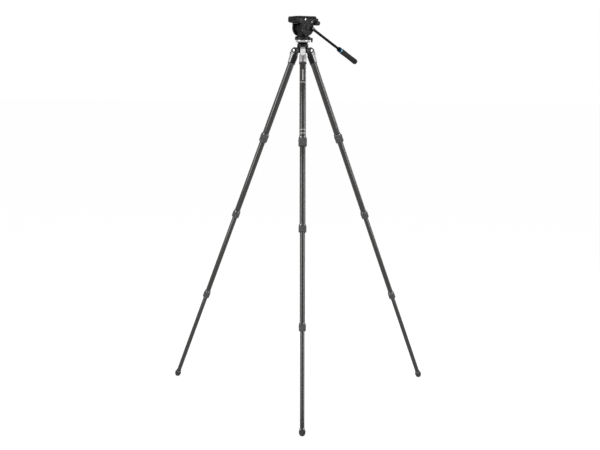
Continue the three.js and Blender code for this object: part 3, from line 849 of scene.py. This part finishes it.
def knob(start, stem, face, radius, end, lobes, depth):
    """A hand knob that lies along Y: its stem ends at face, and its lobed head runs on to end."""
    def ripple(angle, r, height):
        if face + 1 <= height <= end - 1 and r > 5:
            return r - depth * (0.5 + 0.5 * math.cos(lobes * angle)) ** 2
        return r

    profile = [(0, start), (stem, start), (stem, face, 0), (radius - 1.6, face),
               (radius, face + 1.6, 1), (radius, face + 2.6, 0), (radius, end - 3.0, 0),
               (radius, end - 1.8, 1.4), (radius - 2.2, end, 1.2), (radius - 3.6, end, 0.4),
               (radius - 3.9, end - 0.5, 0.3), (0, end - 0.5)]
    return along_y(spun(profile, 0.5, 112, ripple=ripple))


def levelling_base():
    add_piece("apex_casting", apex_solid(), AXIS, "apex", COAT, "apex", sharp=36)
    frame["nodes"]["level_liner"].data.materials[0] = NYLON[1]
    add_piece("levelling_ball", ball_solid(), AXIS, "level_base", BAR_COAT, "level_ball")
    add_piece("levelling_flange", flange_solid(), AXIS, "level_base", SILVER)
    low, high = measured("level_lock_knob", AXIS)
    middle = (low.z + high.z) / 2
    hand_knob = moved(knob(low.y, 3, 30, high.x, high.y, 6, 1.5), 0, 0, middle)
    add_piece("level_hand_knob", hand_knob, AXIS, "level_knob", NYLON, "level_lock_knob")
    nut = [(3.3, 24.3), (6.6, 24.3), (6.6, 27.2), (5.4, 28.6), (3.3, 28.6)]
    nut = moved(along_y(spun(nut, 0.3, 6, True, 2)), 0, 0, middle)
    add_piece("level_knob_nut", nut, AXIS, "apex", STEEL, sharp=20)


levelling_base()

# ---- Head: X the way the lens points, Y to its left, origin on the tilt axis ---------------

BASE_LOW, BASE_HIGH = measured("head_base", HEAD)
CHEEK_HIGH = measured("tilt_cheek_left", HEAD)[1]
DECK_LOW, DECK_HIGH = measured("plate_deck", HEAD)
PLATE_LOW, PLATE_HIGH = measured("quick_release_plate", HEAD)
PAD_LOW, PAD_HIGH = measured("plate_pad", HEAD)
VIAL_LOW, VIAL_HIGH = measured("bubble_vial", HEAD)
VIAL_MIDDLE = (VIAL_LOW.x + VIAL_HIGH.x) / 2
CHANNEL_END = PLATE_HIGH.x + 5.2  # the plate slides forward to just short of the channel's end
DECK_TOP = PAD_HIGH.z - 10
TURNTABLE, NECK_SQUARE = 33.0, 3.8
DRUM = 21.2  # half the tilt drum's width
LEVER_TURN = 25  # how far the pan lock lever stands round from the head's left side, in degrees
BUTTON = (10, 0, 35.5)
DECK_SCREW = (-25, 0, 25)
PLATE_KNOB = (-50, 0, 20)


def pan_scale():
    """Degree marks round the head's base: a short line every ten degrees, longer every thirty."""
    radius, top, marks = BASE_HIGH.x, BASE_HIGH.z - 1.2, []
    for k in range(36):
        mark = box(radius - 0.6, radius + 0.06, -0.2, 0.2, top - (1.4 if k % 3 else 2.4), top)
        marks.append(turned(mark, 10 * k, "Z"))
    return merged(*marks)


def base_solid():
    radius, low, high = BASE_HIGH.x, BASE_LOW.z, BASE_HIGH.z
    rows = [(0, low), (radius - 1.6, low, 0.4), (radius - 0.2, low + 1.5, 0.6),
            (radius - 0.2, low + 2.6, 0.2), (radius - 0.9, low + 2.9, 0.2),
            (radius - 0.9, low + 3.5, 0.2), (radius, low + 3.8), (radius, high - 0.7, 0.5),
            (radius - 1, high), (0, high)]
    pin = moved(along_y(rod(2.4, 26, 40, 32)), 0, 0, low + 5)
    return combined(spun(rows, 0.3, 128), turned(pin, LEVER_TURN, "Z"))


def pan_lever_solid():
    """The pan lock: a wedge-shaped finger lever on a short boss."""
    radius = BASE_HIGH.x
    blade = [(-4.2, 4.2), (4.2, 4.2), (5.2, -2), (3.2, -15), (-3.2, -15), (-5.2, -2)]
    blade = sideways(rounded(blade, 2.2, 4, True), radius + 5.9, radius + 11.3, 1.1, 3)
    grooves = []
    for k in range(4):
        groove = rectangle(-6, 6, -6.2 - 2 * k, -5.4 - 2 * k)
        grooves.append(sideways(groove, radius + 10.8, radius + 14))
    boss = [(0, radius + 0.4), (4.1, radius + 0.4), (4.1, radius + 11.8), (2.8, radius + 12.4),
            (1.6, radius + 12.4), (1.3, radius + 11.9), (0, radius + 11.9)]
    stem = along_y(rod(2, 27, radius + 3, 32))
    whole = merged(combined(blade, *grooves), along_y(spun(boss, 0.4, 48)), stem)
    return turned(moved(whole, 0, 0, BASE_LOW.z + 5), LEVER_TURN, "Z")


def housing_solid():
    """The pan housing: a turntable, a swelling neck and the tilt drum, with a groove at each end."""
    radius, low = TURNTABLE, BASE_HIGH.z + 0.35
    table = [(0, low), (radius - 0.7, low), (radius, low + 0.8), (radius, low + 3.6, 0.8),
             (radius - 1.6, low + 4.9, 0.8), (radius - 5.5, low + 5.2), (0, low + 5.2)]
    neck = loft([
        (low + 4.4, -26, 26, 20.5, 3.2), (low + 6.5, -23, 23, 20.2, 3.4),
        (low + 11, -21.4, 21.4, 20.0, 3.6), (-16, -21, 21, 20.0, NECK_SQUARE),
        (-9, -21.5, 21.5, 20.0, NECK_SQUARE),
    ], 72)
    end = [(6.3, -DRUM), (25.2, -DRUM, 0.8), (26, -DRUM + 1.6, 0.4), (26, -DRUM + 3.4, 0.3),
           (25.3, -DRUM + 3.8, 0.2), (25.3, -DRUM + 4.6, 0.2), (26, -DRUM + 5, 0.3)]
    drum = end + [(point[0], -point[1], *point[2:]) for point in end[::-1]]
    return merged(spun(table, 0.3, 128), neck, along_y(spun(drum, 0.3, 112, True)))


def cheek_solid(side):
    """A cheek: a shallow drum cover with a stepped, dished outer face, under a bracket."""
    radius, inner, outer, top = 34.5, 21.7, CHEEK_HIGH.y, CHEEK_HIGH.z
    rows = [(6.4, inner), (radius - 0.9, inner, 0.6), (radius, inner + 1.0, 0.5),
            (radius, outer - 2.6, 1.6), (radius - 2.6, outer, 1.0), (27.4, outer, 0.6),
            (26.6, outer - 0.9, 0.5), (25.0, outer - 0.9), (24.4, outer - 0.2), (6.4, outer - 0.2)]
    disc = along_y(spun(rows, 0.4, 128, True), side)
    bracket = [(30.5, 0), (33, 13), (33, top), (-33, top), (-33, 13), (-30.5, 0)]
    wall = sideways(rounded(bracket, 2.2, 4, True), side * inner, side * (outer - 1.0), 0.9, 3)
    hollow = along_y(rod(28, -50, 50, 72))
    above = box(-FAR, FAR, -FAR, FAR, top, FAR)
    return merged(combined(wall, hollow), combined(disc, above))


def cheek_screws():
    """Four socket-head screws round each cheek's face."""
    head = [(0, 0), (2.3, 0), (2.3, 0.75), (1.9, 1.05), (1.35, 1.05), (1.3, 0.2), (0, 0.2)]
    screws, reach = [], 30.4
    for side in (-1, 1):
        for angle in map(math.radians, (200, 250, 290, 340)):
            screw = along_y(spun(head, 0.2, 32), side)
            x, z = reach * math.cos(angle), reach * math.sin(angle)
            screws.append(moved(screw, x, side * (CHEEK_HIGH.y - 0.5), z))
    return merged(*screws)


def tilt_lever_solid(low, high):
    """The tilt lock on the right cheek: a hub and a tapering finger lever."""
    hub = [(0, -high.y), (9, -high.y), (9, -low.y - 2.4), (7.4, -low.y - 0.6), (0, -low.y - 0.2)]
    arm = rounded([(-5, 6), (-36, 3.4), (-38, 0), (-36, -3.8), (-5, -6)], 2, 4, True)
    return merged(along_y(spun(hub, 0.8, 64), -1), sideways(arm, low.y, low.y + 5, 1.2, 3))


def deck_solid():
    """The deck: a wedge-nosed plate with a dovetail channel, side grooves and a knob boss."""
    low, top, half = DECK_LOW.x, DECK_TOP, DECK_HIGH.y
    floor, ledge = PLATE_LOW.z - GAP, DECK_LOW.z + 9
    nose, crest = DECK_HIGH.x, DECK_HIGH.z
    side = [(low, 24.5), (low + 3, ledge), (34, ledge), (54, 21.5, 8), (nose - 1.6, 27, 3),
            (nose, 33, 3), (nose - 3, 42, 4), (nose - 10, crest, 4), (CHANNEL_END, crest, 0.6),
            (CHANNEL_END, top, 0.3), (low + 1.5, top), (low, top - 1.5)]
    plan = [(low, -27), (low + 3, -half), (36, -half), (nose, -21), (nose, 21), (36, half),
            (low + 3, half), (low, 27)]
    body = combined(sideways(rounded(side, 2.0, 4, True), -45, 45),
                    prism(rounded(plan, 6, 5, True), 0, FAR), how="INTERSECT")
    soften(body, 0.9, 3, 40)
    dovetail = [(-25, floor), (25, floor), (23, top + 0.5), (-23, top + 0.5)]
    cuts = [lengthwise(dovetail, -80, CHANNEL_END), along_y(rod(26.6, -21.8, 21.8, 72)),
            moved(along_y(rod(5.6, 27.2, 34)), *BUTTON),
            moved(rod(4.5, VIAL_LOW.z - GAP, FAR), VIAL_MIDDLE)]
    for edge in (-1, 1):
        for x0, x1 in ((-40, -4), (20, 34)):
            groove = rounded(rectangle(x0, x1, 27.0, 28.2), 0.5, 2, True)
            cuts.append(sideways(groove, edge * 29.2, edge * 33))
    cuts += [box(x, x + 5, -18, 18, 15, 22.4, 0.8) for x in (-54, -46, -38, 38)]
    boss = rounded([(-59, 22), (-59, 14), (-55, 11), (-45, 11), (-41, 14), (-41, 22)], 2.5, 4, True)
    return merged(combined(body, *cuts), sideways(boss, 14, half, 1.0, 3))


def plate_solid():
    """The sliding plate: dovetail flanks, a stepped rim and a slot for the screw."""
    low, high, top = PLATE_LOW, PLATE_HIGH, DECK_TOP + 0.6
    half = [(24.2, low.z), (22.4, top), (24.5, top), (24.5, high.z - 0.8), (23.7, high.z)]
    section = half + [(-y, z) for y, z in half[::-1]]
    plan = rounded(rectangle(low.x, high.x, -26, 26), 5, 5, True)
    body = combined(lengthwise(section, low.x, high.x), prism(plan, 0, FAR), how="INTERSECT")
    slot = turned(prism(oblong(30, 7.4, 10), 20, FAR), 90, "Z")
    recess = turned(prism(oblong(40, 18, 12), 20, 38.9), 90, "Z")
    return soften(combined(body, slot, recess), 0.35, 2, 50)


def pad_solid():
    """The rubber pad: raised ribs across its top, and the slot for the screw."""
    low, high = PAD_LOW, PAD_HIGH
    plan = rounded(rectangle(low.x, high.x, low.y, high.y), 4, 5, True)
    cuts = [turned(prism(oblong(32, 9.4, 10), low.z - 5, high.z + 5), 90, "Z")]
    count = 17
    for k in range(count):
        x = low.x + 5 + (high.x - low.x - 10) * k / (count - 1)
        cuts.append(box(x - 0.55, x + 0.55, low.y + 3, high.y - 3, high.z - 0.7, high.z + 1))
    return combined(prism(plan, low.z, high.z, 0.5, 2), *cuts)


def camera_screw_solid(low, high):
    """A slotted screw with a quarter-inch thread, 1.27 mm from crest to crest."""
    rows = [(0, low.z), (8.5, low.z, 0.5), (8.5, 38.6, 0.3), (3.1, 38.6)]
    z = 39.6
    while z < high.z - 1.2:
        rows += [(3.15, z), (2.6, z + 0.55), (3.15, z + 1.1)]
        z += 1.27
    rows += [(2.4, high.z), (0, high.z)]
    return combined(spun(rows, 0, 48, steps=2), box(-1.0, 1.0, -9, 9, low.z - 1, low.z + 1.6))


def vial_pieces():
    low, high = VIAL_LOW.z, VIAL_HIGH.z
    rim = [(3.1, low), (4.2, low), (4.2, high + 0.3), (3.7, high + 0.6), (3.1, high + 0.2)]
    lens = [(0, low + 0.4), (3.05, low + 0.4), (3.05, high - 0.5), (2.6, high - 0.1),
            (1.5, high + 0.15), (0, high + 0.2)]
    for name, solid, finish, node, slot in (
        ("vial_rim", spun(rim, 0.25, 64, True, 2), BAR_COAT, None, None),
        ("vial_lens", lathe(lens, 48), VIAL, "bubble_vial", None),
        ("vial_ring", washer(1.35, 1.6, high + 0.05, high + 0.25, 40), NYLON, None, "black_metal"),
    ):
        add_piece(name, moved(solid, VIAL_MIDDLE), HEAD, "tilt_cradle", finish, node)


def head():
    def add(name, solid, body, finish, node=None, sharp=32):
        add_piece(name, solid, HEAD, body, finish, node, sharp=sharp)

    def size(node):
        return measured(node, HEAD)

    add("pan_base", base_solid(), "level_base", COAT, "head_base")
    add("pan_degree_marks", pan_scale(), "level_base", MARK)
    add("pan_lock", pan_lever_solid(), "pan_lever", NYLON, "pan_lock_lever")
    add("pan_body", housing_solid(), "pan_head", COAT, "pan_housing")
    pointer = [(-1.1, BASE_HIGH.z + 0.9), (1.1, BASE_HIGH.z + 0.9), (0, BASE_HIGH.z + 3.4)]
    add("pan_pointer", sideways(pointer, TURNTABLE - 0.4, TURNTABLE + 0.1), "pan_head", MARK)
    frame["nodes"]["tilt_shaft"].data.materials[0] = STEEL[1]
    for side, name in ((1, "left"), (-1, "right")):
        add(f"cheek_cover_{name}", cheek_solid(side), "tilt_cradle", COAT, f"tilt_cheek_{name}")
    add("cheek_screws", cheek_screws(), "tilt_cradle", DARK_STEEL)
    low, high = (corner.y for corner in size("tilt_cap"))
    cap = [(0, low - 0.2), (10.5, low - 0.2), (10.5, low + 1.8), (9.4, high - 0.4), (7.8, high),
           (7.2, high - 0.7), (0, high - 0.7)]
    add("tilt_axis_cap", along_y(spun(cap, 0.6, 72)), "tilt_cradle", NYLON, "tilt_cap")
    add("tilt_lock", tilt_lever_solid(*size("tilt_lock_lever")), "tilt_lever", NYLON, "tilt_lock_lever")
    add("deck_casting", deck_solid(), "tilt_cradle", COAT, "plate_deck", sharp=36)
    vial_pieces()
    add("sliding_plate", plate_solid(), "plate", BAR_COAT, "quick_release_plate", sharp=36)
    add("ribbed_pad", pad_solid(), "plate", PAD_RUBBER, "plate_pad")
    bolt = camera_screw_solid(*size("camera_screw"))
    add("camera_bolt", bolt, "camera_screw_body", STEEL, "camera_screw")
    low, high = (corner.y for corner in size("plate_lock_knob"))
    hand_knob = moved(knob(low, 3, 30.4, 10, high, 8, 1.2), *PLATE_KNOB)
    add("plate_hand_knob", hand_knob, "plate_knob", NYLON, "plate_lock_knob")
    low, high = (corner.y for corner in size("plate_release_button"))
    button = [(0, low), (3, low), (3, 30), (5, 30), (5, high - 0.7), (4.2, high), (0, high + 0.2)]
    button = moved(along_y(spun(button, 0.5, 56, steps=4)), *BUTTON)
    add("release_plunger", button, "release_button", STEEL, "plate_release_button")
    low, high = (corner.y for corner in size("deck_screw"))
    screw = [(0, low), (2.5, low), (2.5, 30.3), (4.5, 30.3), (4.5, high - 0.6), (3.6, high), (0, high)]
    screw = combined(spun(screw, 0.4, 48), hexagon(2.1, high - 1.3, high + 2))
    add("deck_cap_screw", moved(along_y(screw), *DECK_SCREW), "tilt_cradle", STEEL, "deck_screw")


head()

# ---- Pan bar: Z runs down the bar, X is the bar's upper side --------------------------------


def notched(count, depth, inside):
    """A ripple with square notches, outside a radius."""
    return lambda angle, radius, height: (
        radius - depth * (math.cos(count * angle) > 0) if radius > inside else radius
    )


def bar_clamp(tube):
    """The rosette, the clamp and its screw, made at the bar's pivot in the head's frame."""
    pivot = HEAD.inverted() @ BAR.translation / MM
    place = HEAD @ Matrix.Translation((pivot.x * MM, 0, pivot.z * MM))
    low, high = (corner.y for corner in measured("bar_rosette", HEAD))
    teeth = spun(rectangle(2.8, 7.5, low, high), 0.15, 144, True, 2, notched(36, 0.35, 6))
    add_piece("bar_rosette_teeth", along_y(teeth), place, "tilt_cradle", DARK_STEEL, "bar_rosette")
    start, end = 34.6, 45.0
    hub = [(2.7, start), (8, start), (8, end - 1.2), (7, end), (2.7, end)]
    hub = along_y(spun(hub, 0.5, 72, True))
    bore = tube + GAP
    sleeve = [(bore, 3.4), (6.8, 3.4), (6.8, 17), (6.2, 18), (bore, 18)]
    sleeve = carried(spun(sleeve, 0.4, 64, True), BAR, place)
    sleeve = combined(sleeve, box(-80, 80, start, end, -80, 80), how="INTERSECT")
    add_piece("bar_clamp_body", merged(hub, sleeve), place, "handle", COAT, "bar_clamp")
    low, high = (corner.y for corner in measured("bar_clamp_knob", HEAD))
    face = end + GAP
    screw = [(0, low), (2.3, low), (2.3, face), (6, face), (6, high - 0.9), (4.9, high), (0, high)]
    screw = spun(screw, 0.5, 96, ripple=notched(48, 0.18, 5.9))
    slot = box(-7, 7, high - 1.3, high + 2, -0.9, 0.9)
    add_piece("bar_clamp_screw", combined(along_y(screw), slot), place, "clamp_screw", DARK_STEEL,
              "bar_clamp_knob")


def grip_solid(low, high, fat, bore, bore_end):
    """The grip: a lip, a fluted body with a slight waist, and a rounded end with a groove."""
    first, last = low + 5, high - 9  # the flutes fade out towards these heights

    def flutes(angle, radius, height):
        if radius < 9 or not first < height < last:
            return radius
        fade = max(0.0, min(1.0, (height - first) / 6, (last - height) / 6))
        return radius - 0.75 * fade * (0.5 + 0.5 * math.cos(12 * angle)) ** 4

    rows = [(bore, low), (11.3, low, 0.6), (11.8, low + 1.2, 0.4), (11.8, low + 3.0, 0.2),
            (11.2, low + 3.4, 0.2), (11.2, low + 4.0, 0.2), (11.9, low + 4.5)]
    count = 26
    for k in range(count + 1):
        t = k / count
        waist = fat - 0.1 - 0.55 * math.sin(math.pi * t) ** 2
        rows.append((waist, low + 6 + (high - low - 17) * t, 0))
    rows += [(fat - 0.1, high - 9.5), (fat - 0.8, high - 8.9, 0.2), (fat - 0.8, high - 8.2, 0.2),
             (fat - 0.1, high - 7.6), (fat - 0.2, high - 5, 2), (fat - 3.4, high - 0.8, 2.5),
             (4, high, 2), (0, high)]
    # The outline starts at the blind end of the bore, and runs out of it and round the outside.
    return lathe([(0, bore_end), (bore, bore_end)] + rounded(rows, 0.3, 3), 144, ripple=flutes)


def bar():
    grip_low, grip_high = measured("pan_bar_grip", BAR)
    bar_low, bar_high = measured("pan_bar", BAR)
    tube = bar_high.x
    bar_clamp(tube)
    collar, collar_end = (corner.z for corner in measured("grip_collar", BAR))
    sleeve_end, thick = 18.6, tube + 0.8
    shaft = [(0, bar_low.z), (tube, bar_low.z), (tube, sleeve_end), (thick, sleeve_end + 1.2),
             (thick, collar - 1.6), (tube, collar - 0.4), (tube, bar_high.z), (0, bar_high.z)]
    add_piece("pan_bar_shaft", spun(shaft, 0.5, 64), BAR, "handle", BAR_COAT, "pan_bar")

    def knurl(angle, radius, height):
        wanted = collar + 2.6 < height < collar_end - 2.6 and radius > 9
        return radius - 0.28 * (0.5 + 0.5 * math.cos(44 * angle)) if wanted else radius

    bore = tube + GAP
    rows = [(bore, collar), (9.2, collar, 0.5), (10.6, collar + 1.4, 0.5), (10.7, collar + 2.5, 0)]
    rows += [(10.75, collar + 2.8 + k * 1.2, 0) for k in range(5)]
    rows += [(10.9, collar_end - 2.2, 0), (10.9, collar_end - 0.6, 0.5), (10.3, collar_end),
             (bore, collar_end)]
    knurled = spun(rows, 0.2, 176, True, ripple=knurl)
    add_piece("grip_front_collar", knurled, BAR, "handle", NAVY, "grip_collar")
    low, high = (corner.z for corner in measured("grip_ring", BAR))
    rows = [(bore, low), (10.7, low), (11, low + 0.7), (11, high - 0.7), (10.7, high), (bore, high)]
    add_piece("grip_blue_ring", spun(rows, 0.4, 112, True), BAR, "handle", BLUE, "grip_ring")
    grip = grip_solid(grip_low.z, grip_high.z, grip_high.x, bore, bar_high.z + 1)
    add_piece("grip_sleeve", grip, BAR, "handle", GRIP, "pan_bar_grip", sharp=40)


bar()

# ---- Floor, light and camera ----------------------------------------------------------------

FLOOR_REACH = 40.0


def floor():
    """A pale floor that glows a little, so that it is as pale far away as under the lamps."""
    mesh = bpy.data.meshes.new("studio_floor")
    corners = rectangle(-FLOOR_REACH, FLOOR_REACH, -FLOOR_REACH, FLOOR_REACH)
    mesh.from_pydata([(x, y, 0) for x, y in corners], [], [(0, 1, 2, 3)])
    pale = Surface("studio_floor", (0.25, 0.25, 0.25), 0.9, specular_ior_level=0.0)
    pale.inputs["Emission Color"].default_value = (1, 1, 1, 1)
    # Gloss sees the floor without its glow.
    glossy = pale.node("LightPath").outputs["Is Glossy Ray"]
    pale.link(pale.spread(glossy, 0.0, 1.0, 0.74, 0.0), pale.inputs["Emission Strength"])
    mesh.materials.append(pale.material)
    in_scene("studio_floor", mesh)


def soft_light(name, where, target, size, power):
    light = bpy.data.lights.new(name, "AREA")
    light.shape = "RECTANGLE"
    light.size, light.size_y = size
    light.energy = power
    lamp = in_scene(name, light)
    lamp.location = where
    lamp.rotation_euler = (Vector(target) - Vector(where)).to_track_quat("-Z", "Y").to_euler()


def studio():
    world = bpy.data.worlds.new("studio")
    world.use_nodes = True
    sky = Nodes(world.node_tree)
    backdrop = sky.tree.nodes["Background"].inputs
    backdrop["Color"].default_value = (1, 1, 1, 1)
    # Gloss reflects a dimmer room than the white sweep behind the object, as black flags would make
    # it: darkest in front of the tripod, paler behind it.
    direction = sky.node("SeparateXYZ", {0: sky.node("TexCoord").outputs["Generated"]})
    room = sky.spread(direction.outputs["Y"], -0.2, 1.0, 0.15, 0.5)
    glossy = sky.node("LightPath").outputs["Is Glossy Ray"]
    sky.link(sky.spread(glossy, 0.0, 1.0, 1.0, room), backdrop["Strength"])
    bpy.context.scene.world = world
    y = AXIS.translation.y
    for name, where, size, power in (
        ("key", (-2.6, y - 1.6, 1.7), (1.0, 3.0), 46),
        ("fill", (2.7, y - 1.5, 1.7), (1.0, 3.0), 40),
        ("back", (0.4, y + 2.6, 2.9), (2.4, 1.2), 30),
        ("back_strip", (2.9, y + 1.9, 1.7), (0.7, 2.8), 20),
    ):
        soft_light(name, where, (0, y, 1.1), size, power)
    bpy.context.scene.view_settings.view_transform = "Standard"


def camera():
    """Stands in front, a little to the left, at the height of the legs' upper sections."""
    data = bpy.data.cameras.new("camera")
    data.sensor_width = 36.0
    data.lens = 78.25
    eye = bpy.data.objects.new("camera", data)
    distance, height = 5.602, 1.4636
    pitch, roll, yaw = math.radians(7.26), math.radians(-0.547), math.radians(-1.05)
    ahead = Vector((0, math.cos(pitch), -math.sin(pitch)))
    down = Vector((0, -math.sin(pitch), -math.cos(pitch)))
    right = Vector((math.cos(roll), 0, 0)) + down * math.sin(roll)
    under = down * math.cos(roll) - Vector((math.sin(roll), 0, 0))
    pose = axes(Vector((-0.0043, -distance, height)), right, -under, -ahead)
    eye.matrix_world = AXIS @ Matrix.Rotation(yaw, 4, "Z") @ pose
    bpy.context.scene.collection.objects.link(eye)
    bpy.context.scene.camera = eye


floor()
studio()
camera()
